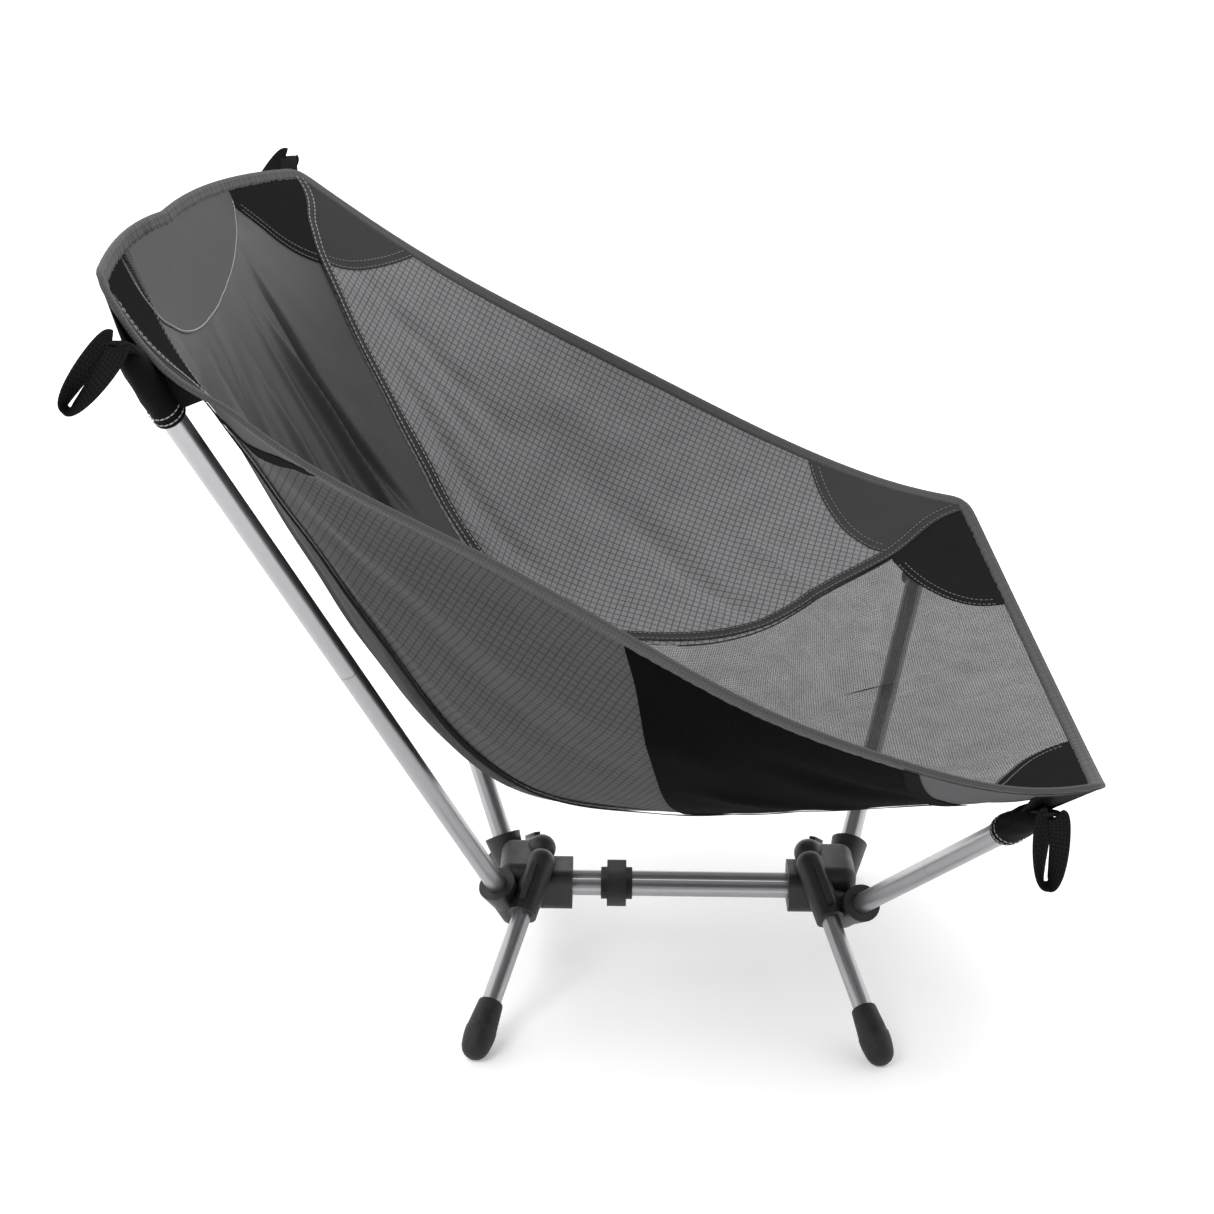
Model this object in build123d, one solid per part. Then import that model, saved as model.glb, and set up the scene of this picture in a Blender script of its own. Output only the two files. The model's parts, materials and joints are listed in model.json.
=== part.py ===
from build123d import *

import os

os.makedirs("parts", exist_ok=True)

# Ultralight backpacking chair, standing ready for use. Millimetres.
# +X is the way the sitter faces, +Y the sitter's left, +Z up. The floor is z = 0.
# The origin is on the floor, under the middle of the whole chair.

# ---- driving dimensions -------------------------------------------------
shift_x = 43.5              # from midway between the hubs to the chair's middle

pole_r = 7.0                # seat poles, outside
leg_r = 6.5                 # legs, outside
wall = 0.9                  # tube wall
bore_gap = 0.1              # radial clearance of a tube in its hub socket
ferrule_gap = 0.05          # radial clearance of a ferrule in the tube that slides off it
ferrule_grip = 30.0         # length of ferrule inside each pole section
plug_length = 12.0          # solid plug in the tip of each pole

spreader_r = 6.0
spreader_pitch = 13.0       # centre to centre of the two spreader tubes
spreader_z = 61.6
collar_ends = (-80.0, 71.5)     # where the rear and the front hub's collars stop
collar_length = 22.0
collar_half = (19.0, 14.5)      # half width and half height of a collar
spreader_in = 31.0          # length of spreader tube inside each hub

block_size = (30.0, 50.0, 38.0)     # body of a hub, between its sockets
block_z = 66.0
block_round = 8.0
collar_round = 9.0
web_r = 9.0                 # rod of nylon that joins a pole socket to the leg socket beside it
rib_size = (5.0, 4.0)       # height and width of the rib on a leg socket

socket_wall = 3.4
socket_flare = 2.6          # how much wider the pole sockets' mouths are

foot_top_r = 8.4
foot_wide_r = 10.6
foot_sole_r = 9.6           # the round end of a rubber foot
foot_length = 42.0
foot_flat = 0.8             # how much of the round end is worn flat on the floor
foot_grip = 26.0            # length of leg inside its rubber foot

cloth_t = 1.6               # panels
tape_t = 3.0                # edge binding
tape_part = 0.035           # width of the binding, as a part of the half width
seam_gap = 0.003            # space between two panels' edges, as a part of the half width
sag_power = 2.2             # how square the seat's cross section is

pocket_gap = 0.4
pocket_t = 2.0
pocket_length = 42.0
tab_length = 9.0
tab_w = 8.0                 # webbing tab between a pocket and its loop

loop_w = 14.0               # webbing width
loop_t = 1.6
loop_gap = 7.0
loop_length = 46.0
loop_step = 15.5            # how far outside its tab a loop hangs
rear_loop_tilt = 38.0       # degrees that a rear loop stands away from hanging straight down

strap_t = 2.0
strap_x = -49.0
strap_w = 22.0
strap_end_w = 13.5
strap_end_t = 5.0

# A pole runs along one line: where it crosses the middle plane, and its slope for 1 of height.
back_pole = dict(x=-105.2, z=12.9, run=(-0.401, 0.572), bottom=53.0, mouth=79.0, joint=284.0, top=508.0)
front_pole = dict(x=103.0, z=34.5, run=(0.430, 1.222), bottom=54.0, mouth=73.0, joint=148.0, top=240.0)

# A leg runs from the hub to the floor: a point in the hub's mouth, and the point on the floor.
rear_leg = dict(hub=(-110.8, 38.1, 66.0), floor=(-145.1, 146.1, 0.0), mouth=60.5, top=81.0)
front_leg = dict(hub=(95.0, 37.0, 66.0), floor=(130.1, 147.1, 0.0), mouth=60.0, top=81.0)

# The seat hangs between its two long edges (half width, then height) and its middle line.
edge_points = [
    (-296, 267, 518), (-262, 286, 489), (-205, 294, 450), (-125, 291, 407), (-40, 301, 362),
    (30, 307, 325), (100, 299, 294), (172, 286, 271), (224, 266, 266),
]
middle_points = [
    (-343, 0, 533), (-320, 0, 484), (-294, 0, 425), (-260, 0, 350), (-218, 0, 270), (-172, 0, 200),
    (-124, 0, 164), (-50, 0, 154), (30, 0, 160), (110, 0, 173), (185, 0, 188), (256, 0, 204),
]


# ---- helpers ------------------------------------------------------------
def save(shape, node):
    """Shift a shape into the chair's frame and write it as one sub-part."""
    moved = Pos(shift_x, 0, 0) * shape
    export_step(moved, f"parts/{node}.step")


def rod(start, end, radius):
    """Solid round bar between two points."""
    line = end - start
    return Solid.make_cylinder(radius, line.length, Plane(start, z_dir=line))


def taper(start, end, start_radius, end_radius):
    """Solid cone between two points."""
    line = end - start
    return Solid.make_cone(start_radius, end_radius, line.length, Plane(start, z_dir=line))


def tube(start, end, radius, thickness=wall):
    """Open tube between two points."""
    return rod(start, end, radius) - rod(start, end, radius - thickness)


def pole_at(pole, side, height):
    """Point of a pole's axis at a height. side is +1 for the left and -1 for the right."""
    rise = height - pole["z"]
    return Vector(pole["x"] + pole["run"][0] * rise, side * pole["run"][1] * rise, height)


def leg_at(leg, side, height):
    """Point of a leg's axis at a height."""
    top = Vector(*leg["hub"])
    foot = Vector(*leg["floor"])
    point = foot + (top - foot) * (height / top.Z)
    return Vector(point.X, side * point.Y, point.Z)


def direction(start, end):
    """Unit vector from one point to another."""
    return (end - start).normalized()


edge_line = Spline(*[Vector(*p) for p in edge_points])
middle_line = Spline(*[Vector(*p) for p in middle_points])


def seat_point(u, v):
    """Seat surface: u runs from the top of the back to the front edge, v from right (-1) to left (+1).

    Each cross line hangs from the two long edges to the middle line as a power of v.
    """
    edge = edge_line @ u
    middle = middle_line @ u
    hang = abs(v) ** sag_power
    x = middle.X + (edge.X - middle.X) * hang
    z = middle.Z + (edge.Z - middle.Z) * hang
    return Vector(x, edge.Y * v, z)


def cloth(u_low, u_high, v_low, v_high, thickness=cloth_t, rows=13, columns=9):
    """Closed sheet of cloth: the stretch of the seat between two u and two v. v may vary with u."""
    grid = []
    for i in range(rows):
        u = u_low + (u_high - u_low) * i / (rows - 1)
        low = v_low(u)
        high = v_high(u)
        grid.append([seat_point(u, low + (high - low) * j / (columns - 1)) for j in range(columns)])
    face = Face.make_surface_from_array_of_points(grid, tol=0.05, min_deg=3, max_deg=5)
    return Solid.thicken(face, thickness, normal_override=Vector(0.3, 0, 1))


# ---- hubs ---------------------------------------------------------------
def hub(pole, leg, collar_end, inward):
    """One moulded nylon hub. inward is the way to the other hub along X: +1 or -1."""
    root = collar_end - inward * collar_length
    collar = Box(collar_length, 2 * collar_half[0], 2 * collar_half[1])
    collar = fillet(collar.edges().filter_by(Axis.X), collar_round)
    collar = Pos((collar_end + root) / 2, 0, spreader_z) * collar
    block_x = (leg_at(leg, 1, 80).X + pole_at(pole, 1, 70).X) / 2
    block = Pos(block_x, 0, block_z) * Box(*block_size)
    block = fillet(block.edges(), block_round)
    body = collar + block
    for side in (-1, 1):
        low = pole_at(pole, side, pole["bottom"] - 4)
        lip = pole_at(pole, side, pole["mouth"])
        neck = pole_at(pole, side, pole["mouth"] - 16)
        outer = pole_r + socket_wall
        body += rod(low, lip, outer)
        body += taper(neck, lip, outer, outer + socket_flare)
        mouth = leg_at(leg, side, leg["mouth"])
        crown = leg_at(leg, side, leg["top"] + 1.5)
        body += rod(mouth, crown, leg_r + socket_wall)
        body += Pos(crown) * Sphere(leg_r + socket_wall)
        body += rod(pole_at(pole, side, 62), leg_at(leg, side, 68), web_r)
        body += hub_rib(leg, side)
    for side in (-1, 1):
        open_pole = pole_at(pole, side, pole["mouth"] + 20)
        body -= rod(pole_at(pole, side, pole["bottom"]), open_pole, pole_r + bore_gap)
        open_leg = leg_at(leg, side, leg["mouth"] - 20)
        body -= rod(open_leg, leg_at(leg, side, leg["top"]), leg_r + bore_gap)
        y = side * spreader_pitch / 2
        inner = Vector(collar_end - inward * spreader_in, y, spreader_z)
        outer_end = Vector(collar_end + inward * 10, y, spreader_z)
        body -= rod(inner, outer_end, spreader_r + 0.05)
    return body


def hub_rib(leg, side):
    """Stiffening rib that stands on the upper side of a leg socket."""
    low = leg_at(leg, side, leg["mouth"] + 3)
    high = leg_at(leg, side, leg["top"] - 2)
    along = direction(low, high)
    out = Vector(0, 0, 1)
    out = (out - along * out.dot(along)).normalized()
    middle = (low + high) / 2 + out * (leg_r + socket_wall)
    length = (high - low).length
    return Plane(middle, x_dir=out, z_dir=along) * Box(*rib_size, length)


rear_hub = hub(back_pole, rear_leg, collar_ends[0], 1)
front_hub = hub(front_pole, front_leg, collar_ends[1], -1)
save(rear_hub, "rear_hub")
save(front_hub, "front_hub")

# ---- spreader and its strap ----------------------------------------------
spreader_start = collar_ends[0] - spreader_in
spreader_end = collar_ends[1] + spreader_in
for side, name in ((-1, "right"), (1, "left")):
    y = side * spreader_pitch / 2
    start = Vector(spreader_start, y, spreader_z)
    end = Vector(spreader_end, y, spreader_z)
    save(tube(start, end, spreader_r), f"spreader_tube_{name}")


def ring(x, width, inner_y, inner_z, thickness):
    """Band round both spreader tubes: a hollow stadium carried along X."""
    across = Plane(origin=(x - width / 2, 0, spreader_z), x_dir=(0, 1, 0), z_dir=(1, 0, 0))
    outer = SlotOverall(2 * (inner_y + thickness), 2 * (inner_z + thickness))
    inner = SlotOverall(2 * inner_y, 2 * inner_z)
    return extrude(across * (outer - inner), width)


band_y = spreader_pitch / 2 + spreader_r + 0.25
band_z = spreader_r + 0.25
save(ring(strap_x, strap_w, band_y, band_z, strap_t), "strap_band")
end_y = band_y + strap_t + 0.1
end_z = band_z + strap_t + 0.1
save(ring(strap_x, strap_end_w, end_y, end_z, strap_end_t), "strap_end")


# ---- legs and rubber feet -------------------------------------------------
def foot(leg, side):
    """Rubber foot: a tapered sleeve on the leg that swells to a round end, worn flat on the floor."""
    top = leg_at(leg, side, 60.0)
    floor = leg_at(leg, side, 0.0)
    down = direction(top, floor)
    sole_z = foot_sole_r - foot_flat
    sole = floor - down * (sole_z / -down.Z)
    rim = sole - down * (foot_length - foot_sole_r)
    wide = sole - down * 4.0
    outline = taper(rim, wide, foot_top_r, foot_wide_r)
    outline += taper(wide, sole, foot_wide_r, foot_sole_r)
    outline += Pos(sole) * Sphere(foot_sole_r)
    outline -= rod(rim + down * foot_grip, rim - down * 5, leg_r)
    outline -= Pos(sole.X, sole.Y, -25.0) * Box(80.0, 80.0, 50.0)
    return outline, rim + down * foot_grip


for leg, end_name in ((rear_leg, "rear"), (front_leg, "front")):
    for side, name in ((-1, "right"), (1, "left")):
        rubber, leg_end = foot(leg, side)
        save(rubber, f"foot_{end_name}_{name}")
        save(tube(leg_end, leg_at(leg, side, leg["top"]), leg_r), f"leg_{end_name}_{name}")


# ---- seat poles -----------------------------------------------------------
def save_pole(pole, side, label):
    """One seat pole: two tube sections on a ferrule, with a plug in the tip."""
    bottom = pole_at(pole, side, pole["bottom"])
    joint = pole_at(pole, side, pole["joint"])
    tip = pole_at(pole, side, pole["top"])
    along = direction(bottom, tip)
    inner = pole_r - wall
    save(tube(bottom, joint - along * 0.15, pole_r), f"pole_lower_{label}")
    save(tube(joint + along * 0.15, tip, pole_r), f"pole_upper_{label}")
    low = joint - along * ferrule_grip
    high = joint + along * ferrule_grip
    save(tube(low, high, inner - ferrule_gap, 1.0), f"ferrule_{label}")
    plug = rod(tip - along * plug_length, tip, inner)
    plug += taper(tip, tip + along * 2.5, pole_r, pole_r - 2.0)
    save(plug, f"tip_plug_{label}")


def pocket(pole, side):
    """Sleeve end on a seat corner: it caps a pole's tip and stays open towards the pole's outer side."""
    tip = pole_at(pole, side, pole["top"]) + direction(pole_at(pole, side, 100), pole_at(pole, side, 200)) * 2.5
    along = direction(pole_at(pole, side, 100), tip)
    inward = Vector(0, 0, 1) - along * along.Z
    inward = inward.normalized()
    inner = pole_r + pocket_gap
    outer = inner + pocket_t
    mouth = tip - along * (pocket_length - 2.5)
    end = tip + along * pocket_gap
    shell = rod(mouth, end + along * pocket_t, outer) - rod(mouth - along * 5, end, inner)
    keep = Plane((mouth + end) / 2, x_dir=inward, z_dir=along) * Pos(25.5, 0, 0) * Box(50.0, 60.0, 120.0)
    shell = shell & keep
    root = end + along * pocket_t
    across = along.cross(inward)
    tab = Plane(root + along * tab_length / 2 + inward * 3, x_dir=inward, z_dir=along)
    shell += tab * Box(2.4, tab_w, tab_length + 2)
    return shell, root + along * tab_length + inward * 3


def webbing_loop(root, tilt):
    """Loop of folded webbing that hangs from its root. tilt swings it towards -X, in degrees."""
    slot_length = loop_length - 2 * loop_t - 6.0
    outer_t = loop_gap + 2 * loop_t
    outer = SlotOverall(loop_length, outer_t, rotation=90)
    inner = Pos(0, -1.5) * SlotOverall(slot_length, loop_gap, rotation=90)
    side_view = Plane(origin=(0, loop_w / 2, 0), x_dir=(1, 0, 0), z_dir=(0, -1, 0))
    band = extrude(side_view * (outer - inner), loop_w)
    hung = Pos(0, 0, -loop_length / 2) * band
    return Pos(root) * Rot(0, tilt, 0) * hung


for pole, end_name, tilt in ((back_pole, "rear", rear_loop_tilt), (front_pole, "front", 0.0)):
    for side, name in ((-1, "right"), (1, "left")):
        save_pole(pole, side, f"{end_name}_{name}")
        sleeve, loop_root = pocket(pole, side)
        save(sleeve, f"pocket_{end_name}_{name}")
        hang_from = loop_root + Vector(0, side * loop_step, 0)
        save(webbing_loop(hang_from, tilt), f"loop_{end_name}_{name}")

# ---- seat -----------------------------------------------------------------
back_to_seat = 0.50         # u where the back ends and the mesh seat begins
side_split = 0.62           # u where the ripstop sides change to the plain front sides
tape_v = 1.0 - tape_part
tape_u = 0.016


def centre_seam(u):
    """Half width of the middle panels, as v: wide at the top of the back and at the front edge."""
    return 0.93 - 0.45 * min(u / back_to_seat, 1.0) + 0.36 * max(u - back_to_seat, 0.0) / (1 - back_to_seat)


def inside_seam(u):
    return centre_seam(u) - seam_gap


def outside_seam(u):
    return centre_seam(u) + seam_gap


def under_tape(u):
    return tape_v - seam_gap


save(cloth(tape_u, back_to_seat, lambda u: -inside_seam(u), inside_seam), "back_panel")
save(cloth(back_to_seat + 0.004, 1 - tape_u, lambda u: -inside_seam(u), inside_seam), "seat_mesh")
for side, name in ((-1, "right"), (1, "left")):
    spans = (("side_rear", tape_u, side_split), ("side_front", side_split + 0.004, 1 - tape_u))
    for label, low, high in spans:
        if side > 0:
            panel = cloth(low, high, outside_seam, under_tape)
        else:
            panel = cloth(low, high, lambda u: -under_tape(u), lambda u: -outside_seam(u))
        save(panel, f"{label}_{name}")
    if side > 0:
        edge = cloth(0.0, 1.0, lambda u: tape_v, lambda u: 1.0, tape_t, rows=25, columns=4)
    else:
        edge = cloth(0.0, 1.0, lambda u: -1.0, lambda u: -tape_v, tape_t, rows=25, columns=4)
    save(edge, f"binding_side_{name}")
across_v = tape_v - seam_gap
for node, low, high in (("binding_back", 0.0, tape_u - 0.002), ("binding_front", 1 - tape_u + 0.002, 1.0)):
    save(cloth(low, high, lambda u: -across_v, lambda u: across_v, tape_t, rows=4, columns=25), node)
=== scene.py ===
"""Ultralight backpacking chair: two moulded hubs on a double spreader tube, four legs, four seat poles in
two sections, and a sewn seat that hangs by a pocket in each corner. Metres, Z up, +X is the way the sitter faces.
"""

import json
from math import cos, pi, radians, sin

import bpy
import numpy as np
from mathutils import Matrix, Vector


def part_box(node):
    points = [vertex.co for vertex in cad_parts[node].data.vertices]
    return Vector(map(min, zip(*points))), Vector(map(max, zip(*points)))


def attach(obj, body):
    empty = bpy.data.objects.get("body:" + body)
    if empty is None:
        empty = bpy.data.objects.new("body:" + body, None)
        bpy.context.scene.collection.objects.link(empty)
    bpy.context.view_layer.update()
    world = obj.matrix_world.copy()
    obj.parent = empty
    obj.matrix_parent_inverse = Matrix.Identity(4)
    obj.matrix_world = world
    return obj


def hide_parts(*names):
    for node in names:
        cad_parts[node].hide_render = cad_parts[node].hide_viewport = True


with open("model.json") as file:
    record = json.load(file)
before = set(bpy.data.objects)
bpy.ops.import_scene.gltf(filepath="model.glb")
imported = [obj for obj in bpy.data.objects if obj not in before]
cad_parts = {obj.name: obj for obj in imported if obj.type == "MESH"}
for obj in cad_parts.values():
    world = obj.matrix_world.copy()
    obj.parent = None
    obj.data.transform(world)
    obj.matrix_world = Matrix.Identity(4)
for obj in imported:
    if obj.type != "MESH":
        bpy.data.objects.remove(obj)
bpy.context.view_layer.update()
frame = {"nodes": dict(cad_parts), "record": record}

mm = 0.001

# ---- Camera --------------------------------------------------------------
# A long lens at standing height beside the chair, on the sitter's right, looking down at the seat.
eye = (-0.0071, -1.3915, 0.7843)
heading, look_down, roll = 0.3, 20.3, 0.62
camera_data = bpy.data.cameras.new("camera")
camera_data.lens = 65.2
camera_data.sensor_width = 36.0
camera = bpy.data.objects.new("camera", camera_data)
bpy.context.collection.objects.link(camera)
turn = Matrix.Rotation(radians(heading), 4, "Z") @ Matrix.Rotation(radians(90 - look_down), 4, "X")
camera.matrix_world = Matrix.Translation(eye) @ turn @ Matrix.Rotation(radians(roll), 4, "Z")
bpy.context.scene.camera = camera


# ---- Studio --------------------------------------------------------------
# A white floor that runs out of sight, a bright even room, and one broad lamp above the front left.
def link_nodes(tree, *pairs):
    """Join each (output, input) pair of sockets in a node tree."""
    for output, into in pairs:
        tree.links.new(output, into)


floor_radius = 14.0
ring = np.linspace(0, 2 * pi, 97)[:-1]
floor_mesh = bpy.data.meshes.new("floor")
floor_points = np.stack([floor_radius * np.cos(ring), floor_radius * np.sin(ring), 0 * ring], axis=1)
floor_mesh.from_pydata(floor_points.tolist(), [], [list(range(len(ring)))])
floor = bpy.data.objects.new("floor", floor_mesh)
bpy.context.collection.objects.link(floor)
floor_paint = bpy.data.materials.new("white_paper")
floor_paint.use_nodes = True
paper = floor_paint.node_tree.nodes["Principled BSDF"]
paper.inputs["Base Color"].default_value = (0.93, 0.93, 0.935, 1)
paper.inputs["Roughness"].default_value = 0.9
paper.inputs["Emission Color"].default_value = (1.0, 1.0, 1.0, 1)
paper.inputs["Emission Strength"].default_value = 0.22
floor_mesh.materials.append(floor_paint)

room = bpy.data.worlds.new("room")
room.use_nodes = True
room_nodes = room.node_tree.nodes
way = room_nodes.new("ShaderNodeSeparateXYZ")
shade = room_nodes.new("ShaderNodeMapRange")
shade.interpolation_type = "SMOOTHSTEP"
for label, value in {"From Min": -0.75, "From Max": 0.25, "To Min": 0.62, "To Max": 1.45}.items():
    shade.inputs[label].default_value = value
link_nodes(
    room.node_tree,
    (room_nodes.new("ShaderNodeTexCoord").outputs["Generated"], way.inputs["Vector"]),
    (way.outputs["Y"], shade.inputs["Value"]),
    (shade.outputs["Result"], room_nodes["Background"].inputs["Strength"]),
)
room_nodes["Background"].inputs["Color"].default_value = (1.0, 1.0, 1.0, 1)
bpy.context.scene.world = room
bpy.context.scene.view_settings.view_transform = "Standard"


def lamp(name, place, aim, size, power):
    """Square area lamp of a size in metres and a power in watts, aimed at a point."""
    data = bpy.data.lights.new(name, "AREA")
    data.shape = "SQUARE"
    data.size = size
    data.energy = power
    lit = bpy.data.objects.new(name, data)
    lit.location = place
    lit.rotation_euler = (Vector(aim) - Vector(place)).to_track_quat("-Z", "Y").to_euler()
    bpy.context.collection.objects.link(lit)


lamp("key_lamp", (-1.3, -1.5, 2.6), (0, 0, 0.3), 1.4, 38)
lamp("top_lamp", (0.4, 0.8, 2.4), (0, 0, 0.3), 1.8, 22)


# ---- Aluminium tubes -----------------------------------------------------
# Seat poles, legs and spreader are drawn aluminium tube, silver anodised. Drawing leaves faint lines
# along each tube, so the pattern is turned to run with the tube that it is on.
def pattern_group(name, inputs):
    """Shader node group with a Vector input and named number inputs, which puts out a Mask and a Height."""
    group = bpy.data.node_groups.new(name, "ShaderNodeTree")
    group.interface.new_socket("Vector", in_out="INPUT", socket_type="NodeSocketVector")
    for label, value in inputs.items():
        socket = group.interface.new_socket(label, in_out="INPUT", socket_type="NodeSocketFloat")
        socket.default_value = value
    for label in ("Mask", "Height"):
        group.interface.new_socket(label, in_out="OUTPUT", socket_type="NodeSocketFloat")
    return group, group.nodes.new("NodeGroupInput"), group.nodes.new("NodeGroupOutput")


def noise(tree, vector, scale, detail=2.0, rough=0.5):
    """Noise texture on a vector socket; returns its value output. scale is a number or a socket."""
    node = tree.nodes.new("ShaderNodeTexNoise")
    tree.links.new(vector, node.inputs["Vector"])
    if isinstance(scale, (int, float)):
        node.inputs["Scale"].default_value = scale
    else:
        tree.links.new(scale, node.inputs["Scale"])
    node.inputs["Detail"].default_value = detail
    node.inputs["Roughness"].default_value = rough
    return node.outputs["Fac"]


def math_node(tree, operation, *values):
    """Math node; each value is a number or a socket. Returns its output."""
    node = tree.nodes.new("ShaderNodeMath")
    node.operation = operation
    for slot, value in enumerate(values):
        if isinstance(value, (int, float)):
            node.inputs[slot].default_value = value
        else:
            tree.links.new(value, node.inputs[slot])
    return node.outputs[0]


def spread(tree, value, low, high):
    """Stretch the part of a value between low and high over 0 to 1, clamped and smoothed."""
    node = tree.nodes.new("ShaderNodeMapRange")
    node.interpolation_type = "SMOOTHSTEP"
    tree.links.new(value, node.inputs["Value"])
    node.inputs["From Min"].default_value = low
    node.inputs["From Max"].default_value = high
    return node.outputs["Result"]


def feed(tree, mask, ends, socket):
    """Feed a socket with a mask of 0 to 1 stretched over the range between two ends."""
    node = tree.nodes.new("ShaderNodeMapRange")
    node.inputs["To Min"].default_value, node.inputs["To Max"].default_value = ends
    link_nodes(tree, (mask, node.inputs["Value"]), (node.outputs["Result"], socket))


def surface(name, group, values, colours, rough, relief, coords="Object", turn=None, alpha=None, **constants):
    """Principled material: the group's Mask mixes two colours and two roughnesses, its Height is the bump.

    relief is the bump's depth in metres. coords is Object or UV. alpha is the range that the Mask spans in
    Alpha, where light gets through. Constants are named shader sockets.
    """
    made = bpy.data.materials.new(name)
    made.use_nodes = True
    tree = made.node_tree
    shader = tree.nodes["Principled BSDF"]
    for label, value in constants.items():
        shader.inputs[label.replace("_", " ")].default_value = value
    place = tree.nodes.new("ShaderNodeTexCoord").outputs[coords]
    if turn is not None:
        mapping = tree.nodes.new("ShaderNodeMapping")
        mapping.inputs["Rotation"].default_value = turn
        tree.links.new(place, mapping.inputs["Vector"])
        place = mapping.outputs["Vector"]
    pattern = tree.nodes.new("ShaderNodeGroup")
    pattern.node_tree = group
    for label, value in values.items():
        pattern.inputs[label].default_value = value
    mix = tree.nodes.new("ShaderNodeMix")
    mix.data_type = "RGBA"
    mix.inputs["A"].default_value = (*colours[0], 1)
    mix.inputs["B"].default_value = (*colours[1], 1)
    bump = tree.nodes.new("ShaderNodeBump")
    bump.inputs["Distance"].default_value = relief
    link_nodes(
        tree,
        (place, pattern.inputs["Vector"]),
        (pattern.outputs["Mask"], mix.inputs["Factor"]),
        (mix.outputs["Result"], shader.inputs["Base Color"]),
        (pattern.outputs["Height"], bump.inputs["Height"]),
        (bump.outputs["Normal"], shader.inputs["Normal"]),
    )
    feed(tree, pattern.outputs["Mask"], rough, shader.inputs["Roughness"])
    if alpha is not None:
        feed(tree, pattern.outputs["Mask"], alpha, shader.inputs["Alpha"])
    return made


def grey(value):
    """A neutral colour, a touch cold."""
    return (value, value, value * 1.03)


streak_length = 50
drawn_metal, inlet, outlet = pattern_group("drawn_metal", {"Streaks": 900.0})
stretch = drawn_metal.nodes.new("ShaderNodeMapping")
stretch.inputs["Scale"].default_value = (1, 1, 1 / streak_length)
drawn_metal.links.new(inlet.outputs["Vector"], stretch.inputs["Vector"])
streak = noise(drawn_metal, stretch.outputs["Vector"], inlet.outputs["Streaks"], detail=3.0, rough=0.6)
cloud = noise(drawn_metal, inlet.outputs["Vector"], 60.0, detail=3.0)
link_nodes(
    drawn_metal,
    (math_node(drawn_metal, "MULTIPLY_ADD", streak, 0.6, math_node(drawn_metal, "MULTIPLY", cloud, 0.4)),
     outlet.inputs["Mask"]),
    (streak, outlet.inputs["Height"]),
)


def along_z(axis):
    """Euler turn that carries a direction onto Z, for a Mapping node."""
    return Vector(axis).rotation_difference(Vector((0, 0, 1))).to_euler()


def cad_axis(node):
    """Long axis of a CAD tube: the line along which its corners spread furthest."""
    mesh = frame["nodes"][node].data
    flat = np.empty(len(mesh.vertices) * 3)
    mesh.vertices.foreach_get("co", flat)
    points = flat.reshape(-1, 3)
    centred = points - points.mean(axis=0)
    return np.linalg.svd(centred, full_matrices=False)[2][0]


def repaint(node, material):
    """Give a CAD node one material in place of its own."""
    mesh = frame["nodes"][node].data
    mesh.materials.clear()
    mesh.materials.append(material)


ends = ("rear", "front")
sides = {"right": -1, "left": 1}
corners = [(end, name, side) for end in ends for name, side in sides.items()]
anodised = ("anodised", 900.0, (grey(0.34), grey(0.43)), (0.26, 0.40), 0.00004)
bright = ("bright", 700.0, (grey(0.60), grey(0.74)), (0.18, 0.30), 0.00003)
tubes = {f"spreader_tube_{name}": anodised for name in sides}
for part, metal in {"pole_lower": anodised, "pole_upper": anodised, "leg": anodised, "ferrule": bright}.items():
    tubes.update({f"{part}_{end}_{name}": metal for end, name, _ in corners})
for node, (finish, streaks, greys, rough, relief) in tubes.items():
    repaint(node, surface(
        f"{finish}_{node}", drawn_metal, {"Streaks": streaks}, greys, rough, relief, turn=along_z(cad_axis(node)),
        Metallic=1.0))


# ---- Hubs, tip plugs and strap -------------------------------------------
# The hubs and the plugs in the pole tips are injection moulded in black glass-filled nylon. The strap
# round the spreader tubes is hook and loop tape: one end is pressed over the other.
moulded, inlet, outlet = pattern_group("moulded_grain", {"Grain": 2600.0, "Cloud": 40.0})
fine = noise(moulded, inlet.outputs["Vector"], inlet.outputs["Grain"], detail=2.0)
broad = noise(moulded, inlet.outputs["Vector"], inlet.outputs["Cloud"], detail=4.0, rough=0.6)
link_nodes(
    moulded,
    (spread(moulded, broad, 0.35, 0.7), outlet.inputs["Mask"]),
    (math_node(moulded, "ADD", fine, math_node(moulded, "MULTIPLY", broad, 0.8)), outlet.inputs["Height"]),
)
black_nylon = surface(
    "black_nylon", moulded, {"Grain": 2200.0, "Cloud": 55.0}, (grey(0.009), grey(0.016)), (0.40, 0.55), 0.00012)
for node in ("rear_hub", "front_hub", *(f"tip_plug_{end}_{name}" for end, name, _ in corners)):
    repaint(node, black_nylon)
hook_and_loop = surface(
    "hook_and_loop", moulded, {"Grain": 5200.0, "Cloud": 900.0}, (grey(0.004), grey(0.014)), (0.85, 0.95), 0.0006,
    Sheen_Weight=0.25)
for node in ("strap_band", "strap_end"):
    repaint(node, hook_and_loop)


# ---- Seat shape ----------------------------------------------------------
# The seat is one sewn sling: it hangs from its two long edges, which the four poles pull tight, and sags
# to its middle line. Every cloth piece below lies on this one shape, a little above or under it.
edge_points = np.array([
    (-296, 267, 518), (-262, 286, 489), (-205, 294, 450), (-125, 291, 407), (-40, 301, 362),
    (30, 307, 325), (100, 299, 294), (172, 286, 271), (224, 266, 266),
]) * mm
middle_points = np.array([
    (-343, 0, 533), (-320, 0, 484), (-294, 0, 425), (-260, 0, 350), (-218, 0, 270), (-172, 0, 200),
    (-124, 0, 164), (-50, 0, 154), (30, 0, 160), (110, 0, 173), (185, 0, 188), (256, 0, 204),
]) * mm
sag_power = 2.2
seat_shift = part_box("binding_back")[0][0] - middle_points[:, 0].min()
fall_back = dict(x=-0.027, z=0.030, x_reach=0.10, z_reach=0.075)


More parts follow.
